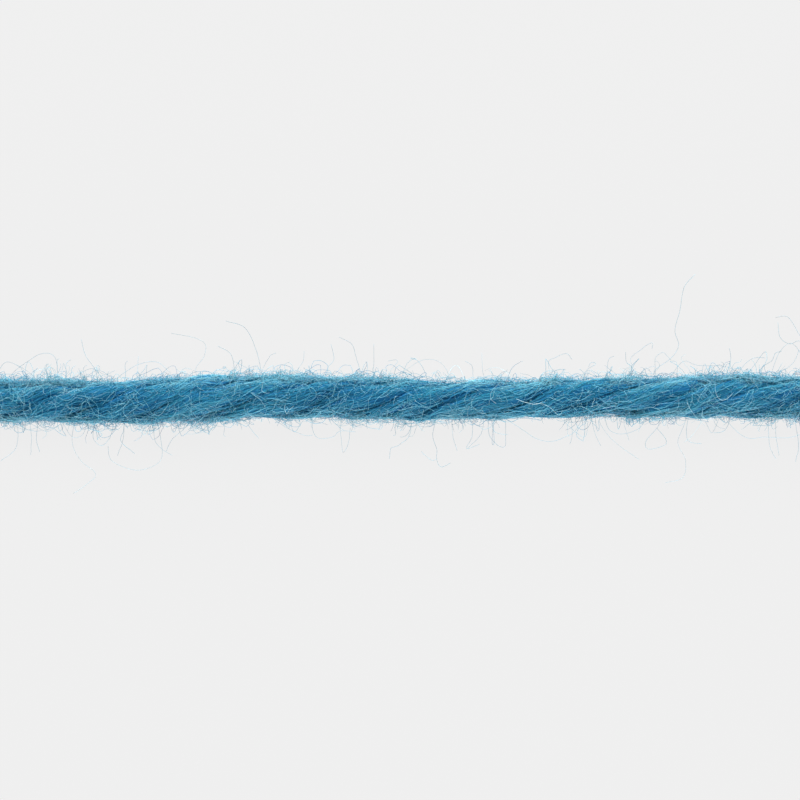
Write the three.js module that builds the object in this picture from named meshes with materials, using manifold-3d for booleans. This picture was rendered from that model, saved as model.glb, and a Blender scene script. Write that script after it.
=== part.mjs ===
// A cut length of four-ply wool knitting yarn, lying straight on a flat surface.
// Millimetres. +X runs along the strand, +Z is up, and the surface it lies on is Z = 0.
import * as THREE from "three";
import { mergeVertices } from "three/addons/utils/BufferGeometryUtils.js";
import Module from "manifold-3d";

// ---- driving sizes -------------------------------------------------------
const LENGTH = 69; // cut length of the strand
const PLIES = 4; // singles twisted together
const NOMINAL = 3.0; // outside diameter that the ply's section is drawn at
const GAP = 0.37; // clear width of the groove between two plies at that diameter, square to the strand
const CROWN = 0.58; // radius of a ply's rounded outside, as a share of the strand's radius
const HEART = 0.55; // where a ply's own middle lies, as a share of the strand's radius
const ROUNDNESS = 5.5; // higher gives a ply sharper shoulders
const SWIRL = 0.7; // radians by which a ply's inner edge runs ahead of its outside
const AROUND = 14; // points round a ply's section
const STEPS = 64; // stations along the strand
const PRESSED = 0.08; // depth by which the underside is flattened where it rests

// How thick the strand is and where it runs: one row for each 5 mm of its length.
// x: place along the strand, side: the middle's offset in Y, across: outside
// diameter, splay: how far the plies have sprung outwards.
const SECTIONS = [
  { x: -35, side: -0.02, across: 2.94, splay: 0.2 },
  { x: -30, side: -0.05, across: 2.9, splay: 0.0 },
  { x: -25, side: -0.15, across: 2.96, splay: 0.0 },
  { x: -20, side: -0.22, across: 3.08, splay: 0.0 },
  { x: -15, side: -0.04, across: 3.3, splay: 0.0 },
  { x: -10, side: 0.15, across: 3.14, splay: 0.0 },
  { x: -5, side: 0.1, across: 3.02, splay: 0.0 },
  { x: 0, side: -0.04, across: 2.98, splay: 0.0 },
  { x: 5, side: -0.05, across: 2.82, splay: 0.0 },
  { x: 10, side: 0.02, across: 2.84, splay: 0.0 },
  { x: 15, side: 0.09, across: 2.76, splay: 0.0 },
  { x: 20, side: 0.11, across: 2.98, splay: 0.0 },
  { x: 25, side: 0.12, across: 2.9, splay: 0.0 },
  { x: 30, side: 0.11, across: 2.98, splay: 0.0 },
  { x: 35, side: 0.06, across: 2.98, splay: 0.2 },
];

// The twist: quarters counts the quarter turns that the strand has made where a
// groove between two plies comes round to the top at x. The lay is uneven, as in
// a soft hand-knitting yarn, and about 19 mm for a whole turn.
const TWIST = [
  { quarters: 0, x: -35.2 },
  { quarters: 1, x: -30.3 },
  { quarters: 2, x: -25.5 },
  { quarters: 3, x: -21.0 },
  { quarters: 4, x: -16.0 },
  { quarters: 5, x: -10.2 },
  { quarters: 6, x: -5.1 },
  { quarters: 7, x: -1.0 },
  { quarters: 8, x: 3.4 },
  { quarters: 9, x: 8.6 },
  { quarters: 10, x: 13.4 },
  { quarters: 11, x: 18.6 },
  { quarters: 12, x: 22.8 },
  { quarters: 13, x: 27.3 },
  { quarters: 14, x: 32.1 },
  { quarters: 15, x: 36.9 },
];

// ---- smooth curve through a column of a table, against x ------------------
function along(table, column) {
  const slope = (i) => {
    const a = table[Math.max(i - 1, 0)];
    const b = table[Math.min(i + 1, table.length - 1)];
    return (b[column] - a[column]) / (b.x - a.x);
  };
  return (x) => {
    let i = 0;
    while (i < table.length - 2 && x > table[i + 1].x) i += 1;
    const a = table[i];
    const b = table[i + 1];
    const w = b.x - a.x;
    const t = THREE.MathUtils.clamp((x - a.x) / w, 0, 1);
    const t2 = t * t;
    const t3 = t2 * t;
    return (
      (2 * t3 - 3 * t2 + 1) * a[column] +
      (t3 - 2 * t2 + t) * w * slope(i) +
      (3 * t2 - 2 * t3) * b[column] +
      (t3 - t2) * w * slope(i + 1)
    );
  };
}
const side = along(SECTIONS, "side");
const across = along(SECTIONS, "across");
const splay = along(SECTIONS, "splay");
const quarters = along(TWIST, "quarters");

// ---- section of one ply ---------------------------------------------------
// A rounded wedge that fills its quarter of the strand. Its middle lies out along
// the first axis. Each side is a smooth meeting of two flat flanks and the crown.
function plySection() {
  const radius = NOMINAL / 2;
  const middle = HEART * radius;
  const sector = Math.PI / PLIES;
  const flankClear = middle * Math.sin(sector) - GAP / 2;
  const crown = CROWN * radius;
  const crownAt = radius - crown - middle;
  const points = [];
  for (let i = 0; i < AROUND; i += 1) {
    const a = ((i + 0.5) / AROUND) * 2 * Math.PI;
    const out = new THREE.Vector2(Math.cos(a), Math.sin(a));
    const reach = [];
    for (const hand of [-1, 1]) {
      const toFlank = -out.x * Math.sin(sector) + hand * out.y * Math.cos(sector);
      if (toFlank > 1e-6) reach.push(flankClear / toFlank);
    }
    const b = out.x * crownAt;
    reach.push(b + Math.sqrt(b * b + crown * crown - crownAt * crownAt));
    const sum = reach.reduce((s, r) => s + Math.pow(r, -ROUNDNESS), 0);
    const r = Math.pow(sum, -1 / ROUNDNESS);
    points.push(new THREE.Vector2(middle + r * out.x, r * out.y));
  }
  return new THREE.Shape(points);
}

// ---- one ply: its section swept along the strand and laid round its axis ----
// The twist drags the plies round each other, so that a groove curves as it runs
// in to the axis.
function plyGeometry(index) {
  const swept = new THREE.ExtrudeGeometry(plySection(), {
    depth: LENGTH,
    steps: STEPS,
    bevelEnabled: false,
  });
  const p = swept.getAttribute("position");
  for (let i = 0; i < p.count; i += 1) {
    const x = p.getZ(i) - LENGTH / 2;
    const scale = across(x) / NOMINAL;
    const out = p.getX(i) * scale + splay(x);
    const across2 = p.getY(i) * scale;
    // Left-handed lay: seen from above, the plies climb to the right.
    const depth = 1 - Math.hypot(out, across2) / (across(x) / 2 + splay(x));
    const turn =
      Math.PI / 2 +
      Math.PI / PLIES +
      (index * 2 * Math.PI) / PLIES -
      (quarters(x) * Math.PI) / 2 +
      SWIRL * depth;
    const height = across(x) / 2 + splay(x) - PRESSED;
    p.setXYZ(
      i,
      x,
      side(x) + out * Math.cos(turn) - across2 * Math.sin(turn),
      height + out * Math.sin(turn) + across2 * Math.cos(turn),
    );
  }
  return swept;
}

// ---- the underside, flattened where the strand rests ------------------------
const wasm = await Module();
wasm.setup();

function toSolid(geometry) {
  const bare = geometry.clone();
  bare.deleteAttribute("normal");
  bare.deleteAttribute("uv");
  const merged = mergeVertices(bare, 1e-4);
  return new wasm.Manifold(
    new wasm.Mesh({
      numProp: 3,
      vertProperties: new Float32Array(merged.getAttribute("position").array),
      triVerts: new Uint32Array(merged.index.array),
    }),
  );
}

function toGeometry(solid) {
  const mesh = solid.getMesh();
  const geometry = new THREE.BufferGeometry();
  geometry.setAttribute(
    "position",
    new THREE.BufferAttribute(new Float32Array(mesh.vertProperties), 3),
  );
  geometry.setIndex(new THREE.BufferAttribute(new Uint32Array(mesh.triVerts), 1));
  geometry.computeVertexNormals();
  return geometry;
}

const ground = new THREE.BoxGeometry(LENGTH + 20, 20, 4);
ground.translate(0, 0, -2);
const underside = toSolid(ground);

// ---- the strand --------------------------------------------------------------
// Each ply takes the dye a little differently.
const WOOL = [
  { name: "ply_1", color: 0x3b7fa6, roughness: 0.9 },
  { name: "ply_2", color: 0x3a7a9f, roughness: 0.9 },
  { name: "ply_3", color: 0x3e84aa, roughness: 0.9 },
  { name: "ply_4", color: 0x37779c, roughness: 0.9 },
];

const yarn = new THREE.Group();
yarn.name = "yarn";
const box = new THREE.Box3();
for (let k = 0; k < PLIES; k += 1) {
  const geometry = toGeometry(toSolid(plyGeometry(k)).subtract(underside));
  const ply = new THREE.Mesh(
    geometry,
    new THREE.MeshStandardMaterial({
      color: WOOL[k].color,
      roughness: WOOL[k].roughness,
      metalness: 0,
    }),
  );
  ply.name = WOOL[k].name;
  geometry.computeBoundingBox();
  box.union(geometry.boundingBox);
  yarn.add(ply);
}

// The origin is the middle of the strand's underside.
yarn.position.set(
  -(box.min.x + box.max.x) / 2,
  -(box.min.y + box.max.y) / 2,
  0,
);

export default yarn;
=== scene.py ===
import math

import bpy
import numpy as np
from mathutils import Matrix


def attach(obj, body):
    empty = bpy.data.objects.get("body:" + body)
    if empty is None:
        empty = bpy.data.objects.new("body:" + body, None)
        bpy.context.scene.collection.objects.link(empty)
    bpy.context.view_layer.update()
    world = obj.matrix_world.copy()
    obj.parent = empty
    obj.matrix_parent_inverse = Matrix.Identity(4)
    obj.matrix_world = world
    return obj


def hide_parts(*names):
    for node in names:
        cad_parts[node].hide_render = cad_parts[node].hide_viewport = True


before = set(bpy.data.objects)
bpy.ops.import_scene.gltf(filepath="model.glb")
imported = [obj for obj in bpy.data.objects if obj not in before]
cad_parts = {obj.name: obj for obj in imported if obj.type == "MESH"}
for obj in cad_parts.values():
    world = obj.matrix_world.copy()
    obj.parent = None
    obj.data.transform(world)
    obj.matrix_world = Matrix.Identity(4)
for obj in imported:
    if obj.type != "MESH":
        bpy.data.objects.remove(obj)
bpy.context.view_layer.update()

MM = 0.001

# ---------------------------------------------------------------- sizes, in mm
LENGTH = 69.0
PLIES = 4
NOMINAL = 3.0
PRESSED = 0.08
SWIRL = 0.7  # radians by which a ply's inner edge runs ahead of its outside
SHIFT_Y = 0.0154  # the strand's tables are centred on the origin by this much

# x along the strand, side offset, outside diameter, splay of the plies
SECTIONS = [
    dict(x=-35, side=-0.02, across=2.94, splay=0.2),
    dict(x=-30, side=-0.05, across=2.9, splay=0.0),
    dict(x=-25, side=-0.15, across=2.96, splay=0.0),
    dict(x=-20, side=-0.22, across=3.08, splay=0.0),
    dict(x=-15, side=-0.04, across=3.3, splay=0.0),
    dict(x=-10, side=0.15, across=3.14, splay=0.0),
    dict(x=-5, side=0.1, across=3.02, splay=0.0),
    dict(x=0, side=-0.04, across=2.98, splay=0.0),
    dict(x=5, side=-0.05, across=2.82, splay=0.0),
    dict(x=10, side=0.02, across=2.84, splay=0.0),
    dict(x=15, side=0.09, across=2.76, splay=0.0),
    dict(x=20, side=0.11, across=2.98, splay=0.0),
    dict(x=25, side=0.12, across=2.9, splay=0.0),
    dict(x=30, side=0.11, across=2.98, splay=0.0),
    dict(x=35, side=0.06, across=2.98, splay=0.2),
]
# quarter turns made where a groove comes round to the top at x
TWIST = [
    dict(quarters=0, x=-35.2),
    dict(quarters=1, x=-30.3),
    dict(quarters=2, x=-25.5),
    dict(quarters=3, x=-21.0),
    dict(quarters=4, x=-16.0),
    dict(quarters=5, x=-10.2),
    dict(quarters=6, x=-5.1),
    dict(quarters=7, x=-1.0),
    dict(quarters=8, x=3.4),
    dict(quarters=9, x=8.6),
    dict(quarters=10, x=13.4),
    dict(quarters=11, x=18.6),
    dict(quarters=12, x=22.8),
    dict(quarters=13, x=27.3),
    dict(quarters=14, x=32.1),
    dict(quarters=15, x=36.9),
]


def along(table, column):
    """A smooth curve through a column of a table, against x."""
    xs = np.array([r["x"] for r in table], float)
    ys = np.array([r[column] for r in table], float)
    lo = np.maximum(np.arange(len(xs)) - 1, 0)
    hi = np.minimum(np.arange(len(xs)) + 1, len(xs) - 1)
    slope = (ys[hi] - ys[lo]) / (xs[hi] - xs[lo])

    def at(x):
        x = np.asarray(x, float)
        i = np.clip(np.searchsorted(xs, x, side="right") - 1, 0, len(xs) - 2)
        w = xs[i + 1] - xs[i]
        t = np.clip((x - xs[i]) / w, 0, 1)
        t2, t3 = t * t, t * t * t
        return (
            (2 * t3 - 3 * t2 + 1) * ys[i]
            + (t3 - 2 * t2 + t) * w * slope[i]
            + (3 * t2 - 2 * t3) * ys[i + 1]
            + (t3 - t2) * w * slope[i + 1]
        )

    return at


side = along(SECTIONS, "side")
across = along(SECTIONS, "across")
splay = along(SECTIONS, "splay")
quarters = along(TWIST, "quarters")


def middle_y(x):
    return side(x) + SHIFT_Y


def middle_z(x):
    return across(x) / 2 + splay(x) - PRESSED


def turn(k, x):
    return np.pi / 2 + np.pi / PLIES + k * 2 * np.pi / PLIES - quarters(x) * np.pi / 2


# ---------------------------------------------------------------- camera
WIDE = 56.0  # mm across the picture, at the strand's middle height
LENS, SENSOR = 100.0, 36.0
scene = bpy.context.scene
cam = bpy.data.objects.new("camera", bpy.data.cameras.new("camera"))
cam.data.lens, cam.data.sensor_width, cam.data.sensor_fit = LENS, SENSOR, "HORIZONTAL"
cam.data.clip_start, cam.data.clip_end = 0.005, 20.0
cam.data.dof.use_dof = False
cam.location = (0.0, -0.05 * MM, (WIDE * LENS / SENSOR + 1.5) * MM)
cam.rotation_euler = (0.0, 0.0, 0.0)
scene.collection.objects.link(cam)
scene.camera = cam


# ---------------------------------------------------------------- materials
def new_material(name):
    m = bpy.data.materials.new(name)
    m.use_nodes = True
    nt = m.node_tree
    nt.nodes.clear()
    out = nt.nodes.new("ShaderNodeOutputMaterial")
    bsdf = nt.nodes.new("ShaderNodeBsdfPrincipled")
    nt.links.new(bsdf.outputs[0], out.inputs[0])
    return m, nt, bsdf


def ramp(nt, stops, interpolation="LINEAR"):
    r = nt.nodes.new("ShaderNodeValToRGB")
    r.color_ramp.interpolation = interpolation
    while len(r.color_ramp.elements) > 1:
        r.color_ramp.elements.remove(r.color_ramp.elements[-1])
    for i, (at, colour) in enumerate(stops):
        e = r.color_ramp.elements[0] if i == 0 else r.color_ramp.elements.new(at)
        e.position = at
        e.color = (*colour, 1.0)
    return r


def math_node(nt, operation, a, b):
    n = nt.nodes.new("ShaderNodeMath")
    n.operation = operation
    for socket, v in zip(n.inputs, (a, b)):
        if isinstance(v, (int, float)):
            socket.default_value = v
        else:
            nt.links.new(v, socket)
    return n.outputs[0]


def wool(name, stops, roughness, specular, sheen, sheen_tint, mottle, through):
    """Dyed wool: a fibre takes its shade from the tone it carries, a little uneven along it,
    and lets some light through. The tone holds dye variation and also painted light and shade."""
    m, nt, bsdf = new_material(name)
    tone = nt.nodes.new("ShaderNodeAttribute")
    tone.attribute_name = "tone"
    place_ = nt.nodes.new("ShaderNodeTexCoord")
    noise = nt.nodes.new("ShaderNodeTexNoise")
    noise.inputs["Scale"].default_value = 6000.0
    noise.inputs["Detail"].default_value = 2.0
    nt.links.new(place_.outputs["Object"], noise.inputs["Vector"])
    uneven = math_node(nt, "MULTIPLY", math_node(nt, "SUBTRACT", noise.outputs["Fac"], 0.5), mottle)
    shade = ramp(nt, stops)
    nt.links.new(math_node(nt, "ADD", tone.outputs["Fac"], uneven), shade.inputs["Fac"])
    nt.links.new(shade.outputs["Color"], bsdf.inputs["Base Color"])
    bsdf.inputs["Roughness"].default_value = roughness
    bsdf.inputs["Specular IOR Level"].default_value = specular
    bsdf.inputs["Sheen Weight"].default_value = sheen
    bsdf.inputs["Sheen Roughness"].default_value = 0.5
    bsdf.inputs["Sheen Tint"].default_value = (*sheen_tint, 1.0)
    bsdf.inputs["Subsurface Weight"].default_value = through
    bsdf.inputs["Subsurface Radius"].default_value = (1.0, 1.0, 1.0)
    bsdf.inputs["Subsurface Scale"].default_value = 0.00004
    return m


def core_wool(name, stops):
    """The mass of fibres under the surface: fine streaks that run along the ply."""
    m, nt, bsdf = new_material(name)
    tone = nt.nodes.new("ShaderNodeAttribute")
    tone.attribute_name = "tone"
    uv = nt.nodes.new("ShaderNodeUVMap")
    uv.uv_map = "OFBake"
    stretch = nt.nodes.new("ShaderNodeMapping")
    stretch.inputs["Scale"].default_value = (260.0, 26.0, 1.0)
    noise = nt.nodes.new("ShaderNodeTexNoise")
    noise.inputs["Scale"].default_value = 1.0
    noise.inputs["Detail"].default_value = 3.0
    noise.inputs["Distortion"].default_value = 0.6
    nt.links.new(uv.outputs["UV"], stretch.inputs["Vector"])
    nt.links.new(stretch.outputs["Vector"], noise.inputs["Vector"])
    streak = math_node(nt, "MULTIPLY", math_node(nt, "SUBTRACT", noise.outputs["Fac"], 0.5), 1.6)
    shade = ramp(nt, stops)
    nt.links.new(math_node(nt, "ADD", tone.outputs["Fac"], streak), shade.inputs["Fac"])
    nt.links.new(shade.outputs["Color"], bsdf.inputs["Base Color"])
    bump = nt.nodes.new("ShaderNodeBump")
    bump.inputs["Strength"].default_value = 0.6
    bump.inputs["Distance"].default_value = 0.00003
    nt.links.new(noise.outputs["Fac"], bump.inputs["Height"])
    nt.links.new(bump.outputs["Normal"], bsdf.inputs["Normal"])
    bsdf.inputs["Roughness"].default_value = 0.85
    bsdf.inputs["Specular IOR Level"].default_value = 0.06
    bsdf.inputs["Sheen Weight"].default_value = 0.05
    bsdf.inputs["Sheen Roughness"].default_value = 0.5
    bsdf.inputs["Sheen Tint"].default_value = (0.4, 0.7, 0.9, 1.0)
    return m


WOOL = wool(
    "wool",
    [
        (0.0, (0.008, 0.104, 0.244)),
        (0.35, (0.016, 0.178, 0.330)),
        (0.65, (0.041, 0.300, 0.450)),
        (1.0, (0.230, 0.560, 0.680)),
    ],
    0.65,
    0.05,
    0.10,
    (0.45, 0.84, 0.97),
    0.14,
    0.50,
)
CORE = core_wool(
    "wool_core",
    [(0.0, (0.008, 0.092, 0.226)), (0.5, (0.018, 0.152, 0.298)), (1.0, (0.042, 0.238, 0.378))],
)
WISP = wool(
    "wool_wisp",
    [
        (0.0, (0.017, 0.130, 0.300)),
        (0.5, (0.106, 0.388, 0.520)),
        (1.0, (0.300, 0.640, 0.745)),
    ],
    0.65,
    0.08,
    0.07,
    (0.5, 0.88, 0.97),
    0.13,
    0.60,
)
FUZZ = wool(
    "wool_fuzz",
    [
        (0.0, (0.028, 0.140, 0.262)),
        (0.5, (0.140, 0.375, 0.475)),
        (1.0, (0.400, 0.680, 0.765)),
    ],
    0.65,
    0.08,
    0.07,
    (0.6, 0.88, 0.97),
    0.20,
    0.60,
)
STRAY = wool(
    "wool_stray",
    [
        (0.0, (0.080, 0.300, 0.410)),
        (0.5, (0.300, 0.500, 0.590)),
        (1.0, (0.560, 0.720, 0.790)),
    ],
    0.6,
    0.15,
    0.10,
    (0.8, 0.92, 0.97),
    0.20,
    0.30,
)


# ---------------------------------------------------------------- mesh helpers
def make_object(name, verts, tris, tone, material, uv=None, smooth=True):
    """verts in mm."""
    me = bpy.data.meshes.new(name)
    n, f = len(verts), len(tris)
    me.vertices.add(n)
    me.vertices.foreach_set("co", (np.asarray(verts, np.float32) * MM).ravel())
    me.loops.add(f * 3)
    me.loops.foreach_set("vertex_index", np.asarray(tris, np.int32).ravel())
    me.polygons.add(f)
    me.polygons.foreach_set("loop_start", np.arange(0, f * 3, 3, dtype=np.int32))
    me.polygons.foreach_set("loop_total", np.full(f, 3, np.int32))
    me.polygons.foreach_set("use_smooth", np.full(f, smooth))
    me.update(calc_edges=True)
    a = me.attributes.new("tone", "FLOAT", "POINT")
    a.data.foreach_set("value", np.asarray(tone, np.float32))
    if uv is not None:
        layer = me.uv_layers.new(name="OFBake")
        layer.data.foreach_set("uv", np.asarray(uv, np.float32).ravel())
    me.materials.append(material)
    me.validate()
    o = bpy.data.objects.new(name, me)
    scene.collection.objects.link(o)
    return o


def unit(v):
    return v / np.maximum(np.linalg.norm(v, axis=-1, keepdims=True), 1e-12)


def tubes(lines, radii):
    """Three-sided closed tubes along polylines. lines: (F, P, 3), radii: (F, P).
    Returns vertices, triangles and each corner's place on the fibre's own patch."""
    F, P, _ = lines.shape
    t = np.empty_like(lines)
    t[:, 1:-1] = lines[:, 2:] - lines[:, :-2]
    t[:, 0] = lines[:, 1] - lines[:, 0]
    t[:, -1] = lines[:, -1] - lines[:, -2]
    t = unit(t)
    ref = np.where(
        np.abs(t[:, 0, 2:3]) < 0.8, np.array([[0.0, 0.0, 1.0]]), np.array([[0.0, 1.0, 0.0]])
    )
    n = unit(np.cross(t[:, 0], ref))
    normals = np.empty_like(lines)
    for j in range(P):
        n = unit(n - (n * t[:, j]).sum(-1, keepdims=True) * t[:, j])
        normals[:, j] = n
    b = np.cross(t, normals)
    ang = np.arange(3) * 2 * np.pi / 3
    ring = (
        lines[:, :, None, :]
        + radii[:, :, None, None]
        * (
            np.cos(ang)[None, None, :, None] * normals[:, :, None, :]
            + np.sin(ang)[None, None, :, None] * b[:, :, None, :]
        )
    )
    verts = ring.reshape(-1, 3)
    verts[:, 2] = np.maximum(verts[:, 2], 0.004)
    base = (np.arange(F) * P * 3)[:, None, None]
    j = (np.arange(P - 1) * 3)[None, :, None]
    s = np.arange(3)[None, None, :]
    s2 = (s + 1) % 3
    a0, a1 = base + j + s, base + j + s2
    b0, b1 = a0 + 3, a1 + 3
    side_tris = np.stack([np.stack([a0, a1, b1], -1), np.stack([a0, b1, b0], -1)], -2)
    caps0 = base[:, :, 0] + np.array([[0, 2, 1]])
    caps1 = base[:, :, 0] + (P - 1) * 3 + np.array([[0, 1, 2]])
    tris = np.concatenate([side_tris.reshape(F, -1, 3), caps0[:, None], caps1[:, None]], 1)
    u0 = np.broadcast_to(s / 3.0, (F, P - 1, 3))
    u1 = u0 + 1 / 3.0
    v0 = np.broadcast_to((np.arange(P - 1) / (P - 1.0))[None, :, None], (F, P - 1, 3))
    v1 = v0 + 1.0 / (P - 1)
    uv = np.stack(
        [
            np.stack([np.stack([u0, v0], -1), np.stack([u1, v0], -1), np.stack([u1, v1], -1)], -2),
            np.stack([np.stack([u0, v0], -1), np.stack([u1, v1], -1), np.stack([u0, v1], -1)], -2),
        ],
        -3,
    ).reshape(F, -1, 3, 2)
    cap = np.broadcast_to(np.array([[0.0, 0.0], [0.5, 0.0], [0.25, 0.02]]), (F, 1, 3, 2))
    uv = np.concatenate([uv, cap, cap + np.array([0.0, 0.98])], 1)
    return verts, tris.reshape(-1, 3), uv


class Fibres:
    """Collects batches of tubes into one mesh."""

    def __init__(self):
        self.v, self.t, self.uv, self.tone, self.n, self.count = [], [], [], [], 0, 0

    def add(self, lines, radii, tone):
        if not len(lines):
            return
        lines = np.asarray(lines, float)
        radii = np.broadcast_to(np.asarray(radii, float), lines.shape[:2])
        v, t, uv = tubes(lines, radii)
        self.v.append(v)
        self.t.append(t + self.n)
        self.uv.append(uv)
        tone = np.broadcast_to(np.asarray(tone, float), lines.shape[:2])
        self.tone.append(np.repeat(tone.reshape(-1), 3))
        self.n += len(v)
        self.count += len(lines)

    def triangles(self):
        return sum(len(t) for t in self.t)

    def build(self, name, material):
        cells = int(math.ceil(math.sqrt(self.count)))
        out, i = [], 0
        for uv in self.uv:
            idx = np.arange(i, i + len(uv))
            i += len(uv)
            corner = np.stack([idx % cells, idx // cells], -1)[:, None, None, :]
            out.append(((corner + 0.04 + 0.92 * np.clip(uv, 0, 1)) / cells).reshape(-1, 2))
        return make_object(
            name,
            np.concatenate(self.v),
            np.concatenate(self.t),
            np.concatenate(self.tone),
            material,
            np.concatenate(out),
        )


# ---------------------------------------------------------------- a ply's section
GROOVE = -0.31  # mm; below nought the fibre masses of two plies press into each other
INSET = 0.095  # mm that the fuzz stands out from the mass of the fibres
CROWN, HEART, ROUNDNESS = 0.58, 0.55, 5.5
SECTION_POINTS = 720
MID = HEART * NOMINAL / 2


def section_table():
    radius = NOMINAL / 2
    sector = math.pi / PLIES
    a = np.linspace(-np.pi, np.pi, SECTION_POINTS + 1)
    ox, oy = np.cos(a), np.sin(a)
    total = np.zeros_like(a)
    for hand in (-1, 1):
        to = -ox * math.sin(sector) + hand * oy * math.cos(sector)
        clear = MID * math.sin(sector) - GROOVE / 2
        total += np.where(to > 1e-6, (clear / np.maximum(to, 1e-6)) ** -ROUNDNESS, 0)
    crown = CROWN * radius
    at = radius - crown - MID
    b = ox * at
    total += (b + np.sqrt(b * b + crown * crown - at * at)) ** -ROUNDNESS
    r = total ** (-1 / ROUNDNESS)
    out, acr = MID + r * ox, r * oy
    dn = np.gradient(out, a), np.gradient(acr, a)
    nrm = unit(np.stack([dn[1], -dn[0]], -1))
    return a, out, acr, nrm[:, 0], nrm[:, 1]


SEC_A, SEC_OUT, SEC_ACR, SEC_NO, SEC_NA = section_table()


def wrap(a):
    return (a + np.pi) % (2 * np.pi) - np.pi


class Wander:
    """A slow uneven drift along x."""

    def __init__(self, seed, terms, shortest, longest, size):
        g = np.random.default_rng(seed)
        self.q = 2 * np.pi / g.uniform(shortest, longest, terms)
        self.f = g.uniform(0, 2 * np.pi, terms)
        self.s = size * math.sqrt(2.0 / terms)

    def __call__(self, x):
        return self.s * sum(np.sin(q * x + f) for q, f in zip(self.q, self.f))


# where the groove on each side of a ply has drifted to, in radians
SHADE = Wander(90, 7, 8.0, 30.0, 0.062)  # slow change of shade along the strand
DRIFT = [Wander(80 + k, 6, 2.6, 9.0, 0.075) for k in range(PLIES)]


def place(k, x, out, acr):
    """A point of ply k's section at x: out from the strand's axis and across."""
    rho = np.hypot(out, acr)
    w = turn(k, x) + SWIRL * (1 - rho / (across(x) / 2 + splay(x)))
    one, two = DRIFT[k](x), DRIFT[(k + 1) % PLIES](x)
    w = w + 0.5 * (one + two) + 0.5 * (two - one) * np.clip(acr / 0.95, -1, 1)
    c, s = np.cos(w), np.sin(w)
    return np.stack(
        [x + 0 * out, middle_y(x) + out * c - acr * s, middle_z(x) + out * s + acr * c], -1
    )


def on_ply(k, x, a, lift=0.0):
    """A point on ply k's surface at x and section angle a, lifted along its normal."""
    a = wrap(a)
    out, acr = np.interp(a, SEC_A, SEC_OUT), np.interp(a, SEC_A, SEC_ACR)
    no, na = np.interp(a, SEC_A, SEC_NO), np.interp(a, SEC_A, SEC_NA)
    scale = across(x) / NOMINAL
    return place(k, x, out * scale + splay(x) + no * lift, acr * scale + na * lift)


def envelope_table():
    """The strand's outside radius against the angle from a ply's crown."""
    rho = np.hypot(SEC_OUT, SEC_ACR)
    phi = np.arctan2(SEC_ACR, SEC_OUT) + SWIRL * (1 - rho / (NOMINAL / 2))
    grid = np.linspace(-np.pi / PLIES, np.pi / PLIES, 91)
    best = np.zeros_like(grid)
    for shift in (-2 * np.pi / PLIES, 0, 2 * np.pi / PLIES):
        keep = np.abs(SEC_A) < 2.2
        order = np.argsort(phi[keep])
        p, r = phi[keep][order] + shift, rho[keep][order]
        for i, at in enumerate(grid):
            near = np.abs(p - at) < 0.03
            if near.any():
                best[i] = max(best[i], r[near].max())
    return grid, best


ENV_PHI, ENV_RHO = envelope_table()


def envelope(x, th):
    step = 2 * np.pi / PLIES
    phi = (th - turn(0, x) + step / 2) % step - step / 2
    return np.interp(phi, ENV_PHI, ENV_RHO) * across(x) / NOMINAL + splay(x)


def painted_groove_shade_round(x, th):
    """0 over a ply's crown, rising to 1 over the grooves beside it: the mask of the painted groove shade."""
    step = 2 * np.pi / PLIES
    which = np.round((th - turn(0, x)) / step)
    phi = (th - turn(0, x)) - which * step
    edge = np.zeros_like(phi)
    for k in range(PLIES):
        mine = np.mod(which, PLIES) == k
        edge = np.where(mine & (phi < 0), DRIFT[k](x), edge)
        edge = np.where(mine & (phi >= 0), DRIFT[(k + 1) % PLIES](x), edge)
    away = step / 2 - np.abs(phi - edge)
    return np.clip(1 - away / 0.40, 0, 1) ** 1.3


def around(x, th, rho):
    p = np.stack([x + 0 * th, middle_y(x) + rho * np.cos(th), middle_z(x) + rho * np.sin(th)], -1)
    p[..., 2] = np.maximum(p[..., 2], 0.02)
    return p


class Field:
    """A smooth uneven value over a ply's surface: section angle and x."""

    def __init__(self, seed, terms, around_, along_, size):
        g = np.random.default_rng(seed)
        self.m = g.integers(around_[0], around_[1] + 1, terms)
        self.q = 2 * np.pi / g.uniform(*along_, terms) * g.choice([-1, 1], terms)
        self.f = g.uniform(0, 2 * np.pi, terms)
        self.s = size * math.sqrt(2.0 / terms)

    def __call__(self, a, x):
        total = 0 * a * x
        for m, q, f in zip(self.m, self.q, self.f):
            total = total + np.sin(m * a + q * x + f)
        return self.s * total


class Streaks(Field):
    """Short clefts between bundles of fibres: 0 for the most part, rising to about 1."""

    def __init__(self, seed, terms, around_, lie, stray, size):
        g = np.random.default_rng(seed)
        self.m = g.integers(around_[0], around_[1] + 1, terms)
        self.q = -self.m * lie + stray * g.normal(0, 1, terms)
        self.f = g.uniform(0, 2 * np.pi, terms)
        self.s = size * math.sqrt(2.0 / terms)

    def __call__(self, a, x):
        return np.clip(super().__call__(a, x) - 0.6, 0, 1.6)


def outer(a):
    """1 on a ply's crown, falling to 0 on the flanks that press on the next ply."""
    t = np.clip((1.75 - np.abs(wrap(a))) / 0.8, 0, 1)
    return t * t * (3 - 2 * t)


SEC_PHI = np.arctan2(SEC_ACR, SEC_OUT)
# how deep each point of a ply's section lies in the painted groove shade
SEC_GROOVE_SHADE = np.clip((np.abs(SEC_PHI) - 0.26) / 0.46, 0, 1) ** 1.3


def painted_groove_shade(k, a, x):
    """Painted groove shade: 0 on a ply's crown, rising unevenly to about 1 in the grooves beside it."""
    a = wrap(a)
    return np.interp(a, SEC_A, SEC_GROOVE_SHADE) * np.clip(0.5 + PATCH[k](a, x), 0, 1.3)


def painted_side_light(angle):
    """Painted light on the strand's shoulders: 0 on the strand's top, rising to about 1 on its far
    shoulder and to a half on its near one, and falling again towards the underside."""
    c, s = np.cos(angle), np.sin(angle)
    return np.where(c > 0, 1.0, 0.5) * c * c * np.clip((s + 0.3) / 0.7, 0, 1)


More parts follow.
